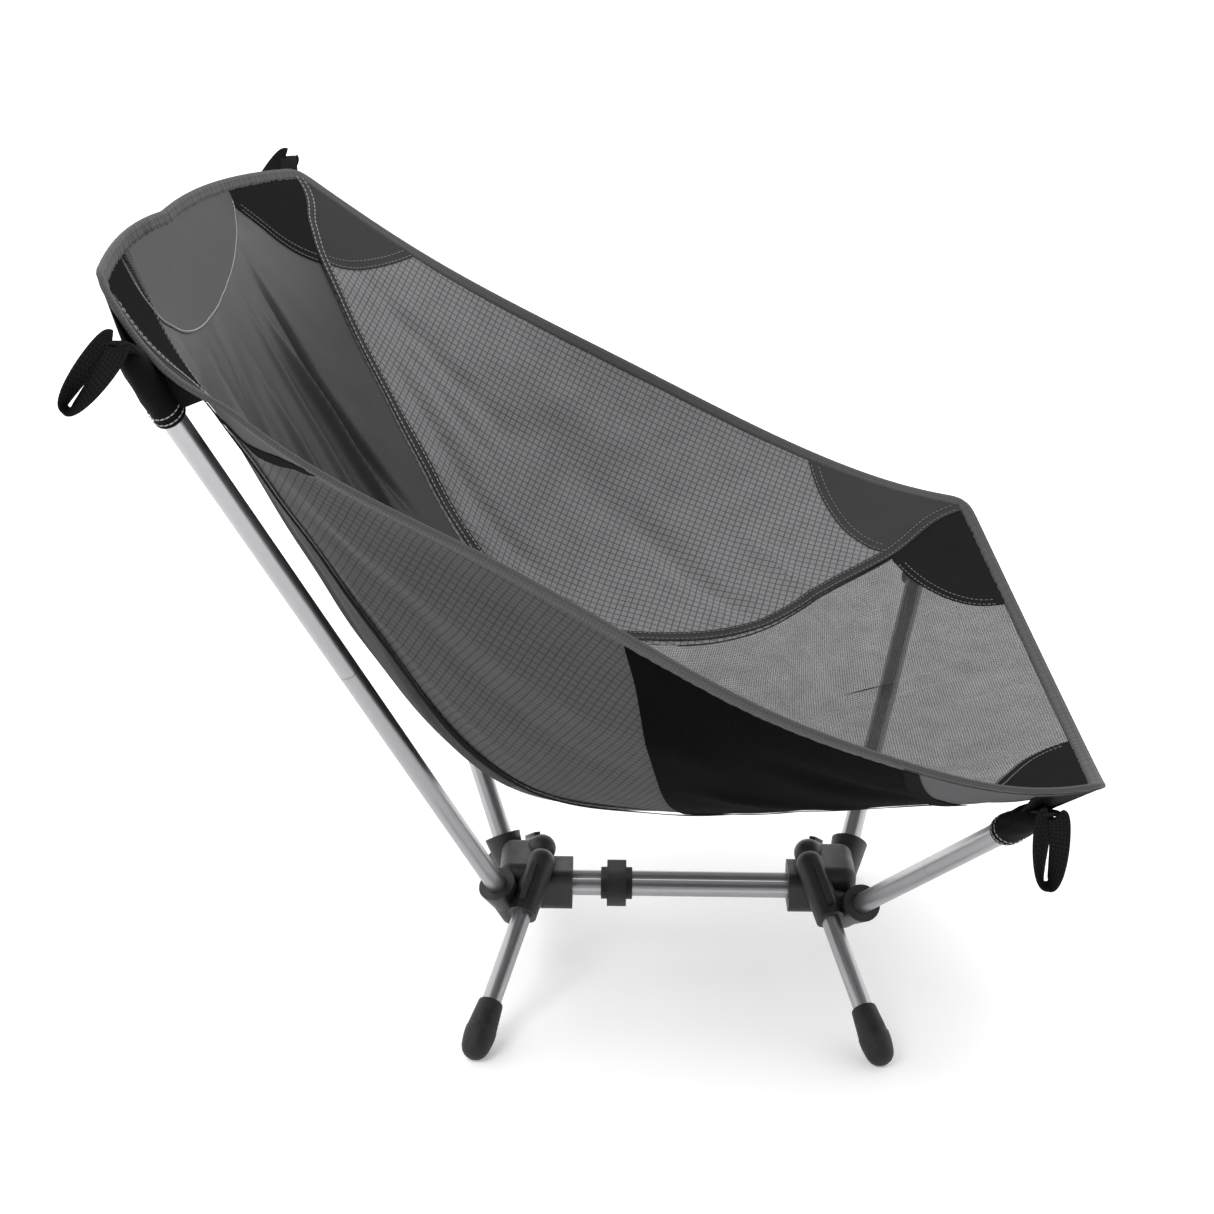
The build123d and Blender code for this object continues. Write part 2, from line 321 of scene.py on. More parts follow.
def run_of(places, axis=0):
    """Distance run along one axis of a grid or line of places, from its first row or column."""
    step = np.linalg.norm(np.diff(places, axis=axis), axis=-1)
    start = np.zeros_like(np.take(step, [0], axis=axis))
    return np.concatenate([start, np.cumsum(step, axis=axis)], axis=axis)


def read_off(line, run, at):
    """Places on a line of points at given distances, where run holds the distance of each of its points."""
    return np.stack([np.interp(at, run, line[:, i]) for i in range(line.shape[1])], axis=-1)


def unit(vectors):
    """Vectors divided by their lengths."""
    return vectors / np.linalg.norm(vectors, axis=-1, keepdims=True)


def through(points, samples=800):
    """Smooth line through points: a cubic spline over chord length with even curvature at its ends.

    Returns a function from the part of the length, 0 to 1, to places on the line.
    """
    knots = run_of(points)
    step = np.diff(knots)
    count = len(points)
    system = np.zeros((count, count))
    right = np.zeros((count, points.shape[1]))
    inside = np.arange(1, count - 1)
    system[inside, inside - 1] = step[:-1]
    system[inside, inside] = 2 * (step[:-1] + step[1:])
    system[inside, inside + 1] = step[1:]
    slope = np.diff(points, axis=0) / step[:, None]
    right[inside] = 6 * np.diff(slope, axis=0)
    system[0, :2] = 1, -1
    system[-1, -2:] = 1, -1
    bend = np.linalg.solve(system, right)
    at = np.linspace(0, knots[-1], samples)
    k = np.clip(np.searchsorted(knots, at, side="right") - 1, 0, count - 2)
    h = step[k][:, None]
    a = (knots[k + 1] - at)[:, None]
    b = (at - knots[k])[:, None]
    line = (bend[k] * a**3 + bend[k + 1] * b**3) / (6 * h)
    line += (points[k] / h - bend[k] * h / 6) * a + (points[k + 1] / h - bend[k + 1] * h / 6) * b
    length = run_of(line)
    length /= length[-1]
    return lambda part: read_off(line, length, part)


edge_line = through(edge_points)
middle_line = through(middle_points)


def sling(u, v):
    """The sling pulled tight: u runs from the top of the back to the front edge, v from right (-1) to left (1).

    Each cross line leaves the middle line as a power of v and ends on the long edges. The back's right
    corner stands up past its pole, so there the cloth is carried back and up, in step with v.
    """
    edge = edge_line(u)
    middle = middle_line(u)
    hang = (np.abs(v) ** sag_power)[..., None]
    place = middle + (edge - middle) * hang
    place[..., 1] = edge[..., 1] * v
    right = np.clip(-v, 0, 1)
    place[..., 0] += seat_shift + fall_back["x"] * right**2.4 * np.clip(1 - u / fall_back["x_reach"], 0, 1)
    place[..., 2] += fall_back["z"] * right * np.clip(1 - u / fall_back["z_reach"], 0, 1) ** 2.2
    return place


corner_u, corner_v = 0.017, 0.047


def taut_seat(u, v):
    """The sling with its four corners eased to arcs of about 14 mm.

    In a corner, p and q run from 0 to 1 towards the two edges; each is multiplied by the square root of one
    less half the other's square, which turns the square corner into a quarter circle.
    """
    p = np.clip(1 - (0.5 - np.abs(u - 0.5)) / corner_u, 0, 1)
    q = np.clip(1 - (1 - np.abs(v)) / corner_v, 0, 1)
    eased_u = u - np.sign(u - 0.5) * corner_u * p * (1 - np.sqrt(1 - q**2 / 2))
    eased_v = v - np.sign(v) * corner_v * q * (1 - np.sqrt(1 - p**2 / 2))
    return sling(eased_u, eased_v)


# Folds in the hanging cloth, each from one (u, v) to another, with its half width and height in millimetres.
# Up is towards the sitter. The back hangs in long folds, the sides drag to the corners, the net is nearly flat.
folds = [
    ((0.13, 0.33), (0.38, 0.38), 7, 9), ((0.10, 0.24), (0.42, 0.30), 7, 4.5),
    ((0.09, 0.40), (0.35, 0.45), 5, -7), ((0.14, 0.10), (0.46, 0.13), 9, 7),
    ((0.12, -0.05), (0.46, -0.03), 10, -7), ((0.14, -0.22), (0.44, -0.17), 8, 7),
    ((0.12, -0.40), (0.40, -0.32), 10, -3), ((0.17, 0.18), (0.44, 0.215), 5, -3),
    ((0.17, 0.82), (0.43, 0.78), 10, -4.5), ((0.23, 0.77), (0.41, 0.72), 6, -3),
    ((0.25, 0.71), (0.54, 0.57), 8, -4.5), ((0.44, 0.85), (0.68, 0.67), 13, -3),
    ((0.58, 0.77), (0.74, 0.55), 8, -4), ((0.33, 0.90), (0.60, 0.88), 14, 3),
    ((0.30, 0.62), (0.48, 0.54), 5, 3), ((0.70, 0.80), (0.80, 0.62), 8, 3),
    ((0.15, -0.93), (0.56, -0.93), 13, 6), ((0.18, -0.84), (0.60, -0.84), 13, -5),
    ((0.22, -0.75), (0.58, -0.73), 12, 4.5), ((0.26, -0.66), (0.52, -0.62), 10, -3),
    ((0.66, -0.90), (0.86, -0.80), 12, 3), ((0.64, -0.72), (0.80, -0.68), 10, -3),
    ((0.76, 0.18), (1.00, 0.35), 2.6, 3.2), ((0.75, 0.15), (0.99, 0.30), 6, -2.5),
    ((0.79, 0.47), (0.90, 0.47), 4, 2), ((0.62, 0.22), (0.86, 0.02), 24, 5),
    ((0.68, -0.10), (0.95, -0.22), 26, -5), ((0.88, 0.05), (1.00, 0.12), 18, 4),
    ((0.64, 0.36), (0.78, 0.33), 10, 2.5),
]


def stretch_of(u, v, step=0.004):
    """Metres along the cloth for a unit of u and for a unit of v, and the direction that faces the sitter."""
    u_low, u_high = np.clip(u - step, 0, 1), np.clip(u + step, 0, 1)
    v_low, v_high = np.clip(v - step, -1, 1), np.clip(v + step, -1, 1)
    along = sling(u_high, v) - sling(u_low, v)
    across = sling(u, v_high) - sling(u, v_low)
    per_u = np.linalg.norm(along, axis=-1) / (u_high - u_low)
    per_v = np.linalg.norm(across, axis=-1) / (v_high - v_low)
    return per_u, per_v, unit(np.cross(along, across))


rough_cut = np.array((0.84, 0.40))
ripple_rise = 0.45 * mm


def fold_height(u, v):
    """Sum of the folds: each is a bell across its line, faded at both ends, and all fade out at the rim.

    The folds are measured on a flat cloth of about the seat's half size, and a faint ripple is added.
    """
    here = np.stack([u, v], axis=-1) * rough_cut
    height = np.zeros_like(u)
    for start, end, width, rise in folds:
        first = np.array(start) * rough_cut
        line = np.array(end) * rough_cut - first
        length = np.linalg.norm(line)
        offset = here - first
        part = offset @ line / length**2
        off = (offset[..., 0] * line[1] - offset[..., 1] * line[0]) / length
        height += rise * mm * np.exp(-(off / (width * mm)) ** 2 - ((part - 0.5) / 0.45) ** 4)
    ripple = np.sin(31 * u + 9 * v) * np.sin(17 * v - 5 * u) + 0.6 * np.sin(67 * u - 23 * v + 2 * np.sin(19 * v))
    height += ripple_rise * ripple
    return height * (1 - np.abs(v) ** 14) * (1 - np.abs(2 * u - 1) ** 18)


def seat(u, v, lift=0.0):
    """Place on the folded sling, lift metres above its middle surface."""
    facing = stretch_of(u, v)[2]
    return taut_seat(u, v) + facing * (fold_height(u, v) + lift)[..., None]


# ---- Cloth by the piece --------------------------------------------------
# Panels are cut from woven cloth a few tenths of a millimetre thick; here each is a thin closed shell, so
# that both faces show. A panel is a grid over the seat shape between two seams.
def shell_faces(rows, columns):
    """Faces of a thin closed shell: a grid of quads above, the same turned over below, and a wall round them."""
    index = np.arange(rows * columns).reshape(rows, columns)
    upper = np.stack([index[:-1, :-1], index[1:, :-1], index[1:, 1:], index[:-1, 1:]], axis=-1).reshape(-1, 4)
    border = np.concatenate([index[0, :-1], index[:-1, -1], index[-1, :0:-1], index[:0:-1, 0]])
    after = np.roll(border, -1)
    wall = np.stack([border, after, after + index.size, border + index.size], axis=-1)
    return np.concatenate([upper, upper[:, ::-1] + index.size, wall])


def put(name, points, faces, material, body, uv=None, sharp=40):
    """Make a mesh object from points, faces and a UV place for each point, and let it ride on a body.

    A skin whose triangles enclose a negative volume is turned inside out, so that faces point outwards.
    """
    mesh = bpy.data.meshes.new(name)
    mesh.from_pydata(np.asarray(points).tolist(), [], [list(face) for face in faces])
    if uv is not None:
        corner = np.empty(len(mesh.loops), dtype=int)
        mesh.loops.foreach_get("vertex_index", corner)
        mesh.uv_layers.new(name="cut").data.foreach_set("uv", np.asarray(uv)[corner].ravel())
    mesh.calc_loop_triangles()
    corners = np.empty(3 * len(mesh.loop_triangles), dtype=np.int32)
    mesh.loop_triangles.foreach_get("vertices", corners)
    first, second, third = (np.asarray(points) - np.mean(points, axis=0))[corners.reshape(-1, 3)].swapaxes(0, 1)
    if (np.cross(first, second) * third).sum() < 0:
        mesh.flip_normals()
    mesh.polygons.foreach_set("use_smooth", np.ones(len(mesh.polygons), dtype=bool))
    mesh.set_sharp_from_angle(angle=radians(sharp))
    mesh.materials.append(material)
    piece = bpy.data.objects.new(name, mesh)
    bpy.context.collection.objects.link(piece)
    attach(piece, body)
    return piece


def panel(name, u, v, lift, thickness, material, straight=None, under=None):
    """Thin closed shell over a grid of (u, v): an upper and a lower face joined round the border.

    The UV map is in metres: the run along the grid's rows, or along a straight direction, and the run
    across them from the edge with the greater |v|. under is the lower face's material, if it has its own.
    """
    rows, columns = u.shape
    upper = seat(u, v, lift + thickness / 2)
    lower = seat(u, v, lift - thickness / 2)
    across = run_of(upper, 1)
    if abs(v[rows // 2, -1]) > abs(v[rows // 2, 0]):
        across = across[:, -1:] - across
    along = upper @ np.array(straight) if straight is not None else run_of(upper)
    uv = np.stack([along, across], axis=-1).reshape(-1, 2)
    points = np.concatenate([upper.reshape(-1, 3), lower.reshape(-1, 3)])
    faces = shell_faces(rows, columns)
    piece = put(name, points, faces, material, "seat", np.concatenate([uv, uv]))
    if under is not None:
        piece.data.materials.append(under)
        half = (rows - 1) * (columns - 1)
        picks = np.zeros(len(piece.data.polygons), dtype=np.int32)
        picks[half:2 * half] = 1
        piece.data.polygons.foreach_set("material_index", picks)
    return piece


def cut_area(u, v):
    """Area of a grid of (u, v) on the taut seat, in square metres: its quads' cross products added up."""
    places = taut_seat(u, v)
    sides_a = places[1:, :-1] - places[:-1, :-1]
    sides_b = places[:-1, 1:] - places[:-1, :-1]
    return float(np.linalg.norm(np.cross(sides_a, sides_b), axis=-1).sum())


seam_points = np.array([
    (0.0, 0.962), (0.03, 0.935), (0.075, 0.83), (0.13, 0.73), (0.26, 0.626), (0.40, 0.545), (0.52, 0.50),
    (0.625, 0.485), (0.69, 0.495), (0.745, 0.535), (0.80, 0.63), (0.88, 0.765), (0.96, 0.93), (1.0, 0.975),
])


seam_line = through(seam_points)(np.linspace(0, 1, 400))
rim_v = 0.989
rim_u = 0.005


def seam(u):
    """Half width of the middle panels, as v: a smooth curve through the seam's points."""
    return np.interp(u, seam_line[:, 0], seam_line[:, 1])


def up_side(u, t):
    """The v that is a part t of the way from the side seam to the rim."""
    return seam(u) + (rim_v - seam(u)) * t


def mirrored(u, v, side):
    """A grid as it is for the left side (1), turned over onto the right for -1."""
    return (u, v) if side > 0 else (u[:, ::-1], -v[:, ::-1])


def side_grid(side, start, end, low=0.0, rows=140, columns=44):
    """Grid on a side of the seat. start and end give u for a part t of the way from the seam to the rim."""
    t = np.linspace(low, 1, columns)[None, :]
    s = np.linspace(0, 1, rows)[:, None]
    u = start(t) + (end(t) - start(t)) * s
    return mirrored(u, up_side(u, t), side)


def middle_grid(start, end, rows, columns=110):
    """Grid between the seams. start and end give u for a part w of the way from the middle to the seam."""
    w = np.linspace(-1, 1, columns)[None, :]
    s = np.linspace(0, 1, rows)[:, None]
    u = start(w) + (end(w) - start(w)) * s
    return u, w * seam(u)


def level(u):
    """A seam or edge that runs straight across the cloth at one u."""
    return lambda part: u + 0 * part


cloth_weave, inlet, outlet = pattern_group("cloth_weave", {"Thread": 0.0006, "Cell": 0.0047, "Line": 0.06})
parts = cloth_weave.nodes.new("ShaderNodeSeparateXYZ")
cloth_weave.links.new(inlet.outputs["Vector"], parts.inputs["Vector"])


def weave(operation, *values):
    """Math node in the weave group."""
    return math_node(cloth_weave, operation, *values)


woven = []
crossing = []
for axis in ("X", "Y"):
    count = weave("DIVIDE", parts.outputs[axis], inlet.outputs["Cell"])
    from_line = weave("ABSOLUTE", weave("SUBTRACT", weave("FRACT", count), 0.5))
    crossing.append(weave("LESS_THAN", from_line, inlet.outputs["Line"]))
    woven.append(weave("SINE", weave("MULTIPLY", weave("DIVIDE", parts.outputs[axis], inlet.outputs["Thread"]), pi)))
line_mask = weave("MAXIMUM", *crossing)
slub = noise(cloth_weave, inlet.outputs["Vector"], 45.0, detail=5.0, rough=0.65)
link_nodes(
    cloth_weave,
    (weave("ADD", weave("MULTIPLY", line_mask, 0.62), weave("MULTIPLY", slub, 0.38)), outlet.inputs["Mask"]),
    (weave("ADD", weave("MULTIPLY", woven[0], woven[1]), weave("MULTIPLY", line_mask, 1.4)), outlet.inputs["Height"]),
)


def cloth(name, threads, greys, rough, relief, shine, alpha=None):
    """Woven cloth: the greys of its face and of its heavier threads, its roughness, relief and specular level."""
    colours = (grey(greys[0]), grey(greys[1]))
    return surface(name, cloth_weave, threads, colours, rough, relief, "UV", alpha=alpha, Specular_IOR_Level=shine)


plain = {"Thread": 0.0006, "Cell": 0.004, "Line": -1.0}
gridded = {"Thread": 0.0007, "Cell": 0.0047, "Line": 0.085}
netted = {"Thread": 0.0009, "Cell": 0.0018, "Line": 0.12}
coarse = {"Thread": 0.0008, "Cell": 0.0042, "Line": 0.05}
ripstop_cloth = cloth("ripstop_cloth", gridded, (0.195, 0.045), (0.60, 0.75), 0.00008, 0.1)
# The ripstop's outer face is the same cloth as its inner face, painted darker: painted shade on the side that faces
# down, away from the light.
ripstop_outside_painted_shade = cloth("ripstop_outside_painted_shade", gridded, (0.07, 0.03), (0.60, 0.75), 0.00008, 0.08)
back_cloth = cloth("back_cloth", plain, (0.018, 0.006), (0.24, 0.34), 0.00005, 0.26, alpha=(0.95, 0.985))
back_outside = cloth("back_outside", plain, (0.022, 0.010), (0.55, 0.7), 0.00005, 0.04, alpha=(0.95, 0.985))
net_cloth = cloth("net_cloth", netted, (0.026, 0.014), (0.45, 0.6), 0.00006, 0.2, alpha=(0.52, 0.86))
black_cloth = cloth("black_cloth", coarse, (0.0012, 0.0028), (0.62, 0.8), 0.00010, 0.015)
coated_cloth = cloth("coated_cloth", plain, (0.014, 0.008), (0.40, 0.5), 0.00005, 0)
grey_cloth = cloth("grey_cloth", plain, (0.098, 0.066), (0.5, 0.65), 0.00006, 0)
side_patch_cloth = cloth("side_patch_cloth", plain, (0.044, 0.028), (0.5, 0.65), 0.00006, 0)


# ---- Back, seat net and sides --------------------------------------------
# Four cut panels make the sling: dark nylon behind the back, see-through net under the seat, and a grey
# ripstop side each way that runs the whole length, its outer face painted darker than its inner face as painted shade.
# Black cloth doubles the front of each side outside.
panel_t = 0.5 * mm
side_lift, outer_lift = 0.3 * mm, -1.1 * mm
cross_seam, seam_lap = 0.52, 0.004
under_seam = -0.04
back_u, back_v = middle_grid(level(rim_u), level(cross_seam + seam_lap), rows=180, columns=220)
back = panel("back_net", back_u, back_v, 0.0, panel_t, back_cloth, under=back_outside)
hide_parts("back_panel")
net_u, net_v = middle_grid(level(cross_seam - seam_lap), level(1 - rim_u), rows=130)
seat_net = panel("seat_net", net_u, net_v, 0.0, panel_t, net_cloth)
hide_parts("seat_mesh")
grain = np.array((0.89, 0.0, -0.454))
cloth_pieces = {"back_net": (back, back_u, back_v), "seat_net": (seat_net, net_u, net_v)}


def black_edge(t):
    """Rear edge of the black outer cloth: it sweeps back as it climbs from the seam to the rim."""
    return 0.66 - 0.10 * t - 0.055 * t**4


for name, side in sides.items():
    side_u, side_v = side_grid(side, level(rim_u), level(1 - rim_u), low=under_seam)
    # The lower face takes the darker copy of the ripstop: painted shade.
    ripstop = panel(f"ripstop_{name}", side_u, side_v, side_lift, panel_t, ripstop_cloth, grain,
                    under=ripstop_outside_painted_shade)
    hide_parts(f"side_rear_{name}")
    outer_u, outer_v = side_grid(side, black_edge, level(1 - rim_u), low=under_seam, rows=100)
    outer = panel(f"outer_front_{name}", outer_u, outer_v, outer_lift, panel_t, black_cloth, grain)
    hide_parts(f"side_front_{name}")
    cloth_pieces[f"ripstop_{name}"] = (ripstop, side_u, side_v)
    cloth_pieces[f"outer_front_{name}"] = (outer, outer_u, outer_v)


# ---- Patches -------------------------------------------------------------
# Every corner is doubled: shiny black cloth on the middle panels, plain grey on the sides, grey again
# outside with a black hem. A grey half moon doubles the top of the back where the head rests.
def rear_edge(t):
    """Front edge of the rear side patch: it slants forward as it climbs to the rim."""
    return 0.122 + 0.074 * t**0.9


def front_edge(t):
    """Rear edge of the front side patch: it sweeps back as it climbs to the rim."""
    return 0.885 - 0.110 * t**0.9


def outside_edge(t):
    """Rear edge of the patch outside the front corner."""
    return 0.862 - 0.070 * t


def hollow_edge(part):
    """Lower edge of the black patch in a top corner of the back, from its inner end to the side seam."""
    return 0.026 + 0.100 * np.clip((part - 0.55) / 0.45, 0, 1) ** 0.85


def toe_edge(u, name):
    """Inner edge of the black patch in a front corner: it leaves the seam and bows in to the front edge."""
    return toe_low[name] + (0.995 - toe_low[name]) * np.clip(1 - (u - 0.88) / 0.112, 0, 1) ** 2.2


def moon_edge(v):
    """Lower edge of the half moon: half an ellipse about a middle a little to the sitter's left."""
    return rim_u + 0.083 * np.sqrt(np.clip(1 - ((v + 0.055) / 0.60) ** 2, 0.0, 1)) ** 1.1


def moved(edge, by):
    """An edge moved along the seat by a part of its length."""
    return lambda t: edge(t) + by


patch_t = 0.45 * mm
over = 0.62 * mm
over_side = side_lift + over
toe_low = {"right": 0.27, "left": 0.58}
rear_rim, front_rim = level(rim_u), level(1 - rim_u)
# Name, rear edge, front edge, rows, lift, cloth and slot of the patches on a side, from the sitter outwards.
side_patches = (
    ("rear_patch", rear_rim, rear_edge, 30, over_side, side_patch_cloth, "binding_tape"),
    ("front_patch", front_edge, front_rim, 40, over_side, side_patch_cloth, "binding_tape"),
    ("front_wing", outside_edge, front_rim, 36, -2.1 * mm, grey_cloth, "binding_tape"),
    ("rear_wing", rear_rim, moved(rear_edge, -0.016), 30, -0.8 * mm, grey_cloth, "binding_tape"),
    ("rear_hem", moved(rear_edge, -0.017), rear_edge, 5, -1.5 * mm, coated_cloth, "pocket_cloth"),
    ("front_hem", moved(outside_edge, -0.002), moved(outside_edge, 0.014), 5, -2.9 * mm, coated_cloth, "pocket_cloth"),
)
moon_s = np.linspace(0, 1, 30)[:, None]
moon_v = np.linspace(-0.653, 0.543, 90)[None, :] + 0 * moon_s
moon_u = rim_u + (moon_edge(moon_v) - rim_u) * moon_s
patches = [panel("head_patch", moon_u, moon_v, over, patch_t, grey_cloth)]
for name, side in sides.items():
    for label, first, last, rows, lift, material, slot in side_patches:
        u, v = side_grid(side, first, last, rows=rows)
        patches.append(panel(f"{label}_{name}", u, v, lift, patch_t, material))
    part = np.linspace(0.56, 0.995, 40)[None, :]
    u = rim_u + (hollow_edge(part) - rim_u) * np.linspace(0, 1, 26)[:, None]
    u, v = mirrored(u, part * seam(u), side)
    patches.append(panel(f"top_corner_{name}", u, v, over, patch_t, coated_cloth))
    u = np.linspace(0.884, 1 - rim_u, 26)[:, None] + 0 * part
    inner = toe_edge(u, name)
    u, v = mirrored(u, (inner + (0.997 - inner) * np.linspace(0, 1, 40)[None, :]) * seam(u), side)
    patches.append(panel(f"toe_corner_{name}", u, v, over, patch_t, coated_cloth))


# ---- Seam tapes and thread -----------------------------------------------
# The panels meet in flat felled seams under narrow grey tape, double stitched in pale thread. Patches are
# stitched down just inside their edges.
def beside(u, v, offset):
    """Line on the seat at an offset in metres to the left of a line of (u, v), measured along the cloth."""
    per_u, per_v, _ = stretch_of(u, v)
    run_u = np.gradient(u) * per_u
    run_v = np.gradient(v) * per_v
    length = np.hypot(run_u, run_v)
    return u - offset * run_v / length / per_u, v + offset * run_u / length / per_v


def tape(name, u, v, width, lift, material, left=0.5):
    """Narrow strip of cloth along a line of (u, v). left is the part of its width on the line's left."""
    lines = [beside(u, v, offset) for offset in np.linspace((left - 1) * width, left * width, 5)]
    grid_u = np.clip(np.stack([line[0] for line in lines], axis=1), 0.002, 0.998)
    grid_v = np.stack([line[1] for line in lines], axis=1)
    return panel(name, grid_u, grid_v, lift, panel_t, material)


bead_length, bead_thick = 2.5 * mm, 0.42 * mm


def beads(name, middle, along, facing, material):
    """Thread stitches at given places: each a small six-sided bead, flattened on the cloth."""
    across = np.cross(facing, along)
    angle = np.arange(6) * pi / 3
    stations = np.array([-0.5, -0.38, 0.38, 0.5]) * bead_length
    girth = np.array([0.45, 1.0, 1.0, 0.45]) * bead_thick
    shape = (middle[:, None, None, :] + along[:, None, None, :] * stations[None, :, None, None]
             + across[:, None, None, :] * (girth[:, None] * np.cos(angle))[None, :, :, None]
             + facing[:, None, None, :] * (0.7 * girth[:, None] * np.sin(angle))[None, :, :, None])
    ring_at = np.arange(6)
    after = np.roll(ring_at, -1)
    bead = [[6 * s + a, 6 * s + b, 6 * s + 6 + b, 6 * s + 6 + a] for s in range(3) for a, b in zip(ring_at, after)]
    first = 24 * np.arange(len(middle))[:, None, None]
    quads = (np.array(bead)[None] + first).reshape(-1, 4)
    caps = np.stack([ring_at[::-1], ring_at + 18])[None] + first
    faces = quads.tolist() + caps.reshape(-1, 6).tolist()
    return put(name, shape.reshape(-1, 3), faces, material, "seat", sharp=80)


def stitches(name, u, v, lift, material, pitch=3.7 * mm):
    """Row of thread stitches along a line of (u, v)."""
    fine = np.linspace(0, 1, 2000)
    old = np.linspace(0, 1, len(u))
    u, v = np.interp(fine, old, u), np.interp(fine, old, v)
    line = seat(u, v, lift)
    run = run_of(line)
    at = np.arange(pitch, run[-1] - pitch, pitch)
    middle = read_off(line, run, at)
    along = unit(read_off(line, run, at + 1.2 * mm) - middle)
    facing = stretch_of(np.interp(at, run, u), np.interp(at, run, v))[2]
    return beads(name, middle, along, facing, material)


spun = {"Grain": 3000.0, "Cloud": 400.0}
pale_thread = surface("pale_thread", moulded, spun, (grey(0.26), grey(0.38)), (0.6, 0.7), 0.0001)
dark_thread = surface("dark_thread", moulded, spun, (grey(0.09), grey(0.15)), (0.6, 0.7), 0.0001)
seam_tape = cloth("seam_tape", plain, (0.032, 0.018), (0.55, 0.7), 0.00008, 0.08)

thread_lift = 0.4 * mm
seam_lift, cross_lift = 1.25 * mm, 1.0 * mm
thread_change = 0.55
for name, side in sides.items():
    u = np.linspace(0.012, 0.985, 420)[::side]
    v = side * seam(u)
    tape(f"seam_tape_{name}", u, v, 8.5 * mm, seam_lift, seam_tape, left=0.62)
    tape(f"seam_back_{name}", u, v, 7.0 * mm, -2.0 * mm, coated_cloth)
    near_back = u < thread_change
    for row, offset in enumerate((-1.6 * mm, 3.6 * mm)):
        line_u, line_v = beside(u, v, offset)
        for part, pick, thread in (("back", near_back, pale_thread), ("front", ~near_back, dark_thread)):
            stitches(
                f"seam_stitch_{part}_{row}_{name}", line_u[pick], line_v[pick], seam_lift + 0.5 * mm, thread)
    t = np.linspace(0.03, 0.97, 120)
    for label, edge, inside in (("rear", rear_edge, side), ("front", front_edge, -side)):
        for row, offset in enumerate((1.5 * mm, 7.5 * mm)):
            line = beside(edge(t), side * up_side(edge(t), t), inside * offset)
            stitches(f"patch_stitch_{label}_{row}_{name}", *line, over_side + thread_lift, dark_thread)
    part = np.linspace(0.57, 0.985, 100)
    toe = np.linspace(0.887, 0.985, 100)
    black_lines = {"top": (hollow_edge(part), side * part * seam(hollow_edge(part))),
                   "toe": (toe, side * toe_edge(toe, name) * seam(toe))}
    for label, line in black_lines.items():
        for row, offset in enumerate((1.5 * mm, 7.0 * mm)):
            shifted = beside(*line, side * offset)
            stitches(f"corner_stitch_{label}_{row}_{name}", *shifted, over + thread_lift, dark_thread)
cross_v = np.linspace(0.995, -0.995, 160) * seam(cross_seam)
cross_u = np.full(160, cross_seam)
tape("cross_tape", cross_u, cross_v, 8.0 * mm, cross_lift, seam_tape)
for row, offset in enumerate((-2.2 * mm, 2.2 * mm)):
    stitches(
        f"cross_stitch_{row}", *beside(cross_u, cross_v, offset), cross_lift + 0.5 * mm, dark_thread)
moon = np.linspace(-0.64, 0.53, 200)
stitches(
    "moon_stitch", *beside(moon_edge(moon), moon, 1.4 * mm), over + thread_lift, pale_thread, pitch=3.0 * mm)


# ---- Edge binding --------------------------------------------------------
# Grey tape is folded over the raw edge all the way round and sewn through. It is gathered a little where
# the top edge curves, and lies flat along the sides.
def rim_line(count):
    """The seat's outline as (u, v), spaced evenly round it: left edge, front, right edge, back."""
    side_steps = np.linspace(0, 1, 400)
    u = np.concatenate([side_steps, 1 + 0 * side_steps, side_steps[::-1], 0 * side_steps])
    v = np.concatenate([1 + 0 * side_steps, 1 - 2 * side_steps, -1 + 0 * side_steps, 2 * side_steps - 1])
    run = run_of(taut_seat(u, v))
    at = np.linspace(0, run[-1], count, endpoint=False)
    return np.interp(at, run, u), np.interp(at, run, v), run[-1]


rim_count, window = 1500, 17
rim_at_u, rim_at_v, rim_length = rim_line(rim_count)
soften = np.hanning(window)[1:-1]
soften /= soften.sum()
reach = len(soften) // 2


def smoothed(values):
    """Moving average round the closed rim, with a bell-shaped window."""
    ringed = np.concatenate([values[-reach:], values, values[:reach]])
    return np.stack([np.convolve(ringed[:, i], soften, mode="valid") for i in range(values.shape[1])], axis=1)


def squared(wave, power):
    """A sine or cosine pushed out towards 1 and -1: its size raised to a power below one, its sign kept."""
    return np.sign(wave) * np.abs(wave) ** power


rim_places = smoothed(taut_seat(rim_at_u, rim_at_v))
rim_facing = unit(smoothed(stretch_of(rim_at_u, rim_at_v)[2]))
rim_along = unit(np.roll(rim_places, -1, axis=0) - np.roll(rim_places, 1, axis=0))
rim_inward = np.cross(rim_facing, rim_along)
rim_inward *= np.sign((rim_inward * (rim_places.mean(axis=0) - rim_places)).sum(axis=1))[:, None]
rim_run = np.arange(rim_count) * rim_length / rim_count
tape_w, tape_half, tape_sides = 9.5 * mm, 1.75 * mm, 16
overhang = 0.4 * mm
pucker_rise = 0.55 * mm
turn_at = np.arange(tape_sides) * 2 * pi / tape_sides
profile_in = tape_w / 2 - overhang + squared(np.cos(turn_at), 0.6) * tape_w / 2
profile_up = squared(np.sin(turn_at), 0.8) * tape_half
profile_up *= 1 + 0.25 * np.cos(turn_at + pi)
at_back, at_front = rim_at_u < 0.01, rim_at_u > 0.99
gather = np.exp(-((rim_at_v + 0.30) / 0.30) ** 2) * at_back
gather += 0.35 * at_back + 0.12 + 0.25 * at_front
pucker = np.sin(rim_run / (1.25 * mm) + 2.2 * np.sin(rim_run / (9 * mm)))
pucker += 0.6 * np.sin(rim_run / (2.9 * mm) + 1.7 * np.sin(rim_run / (23 * mm)))
pucker *= pucker_rise * gather
wave = pucker[:, None] * (0.35 + profile_in / tape_w)[None, :]
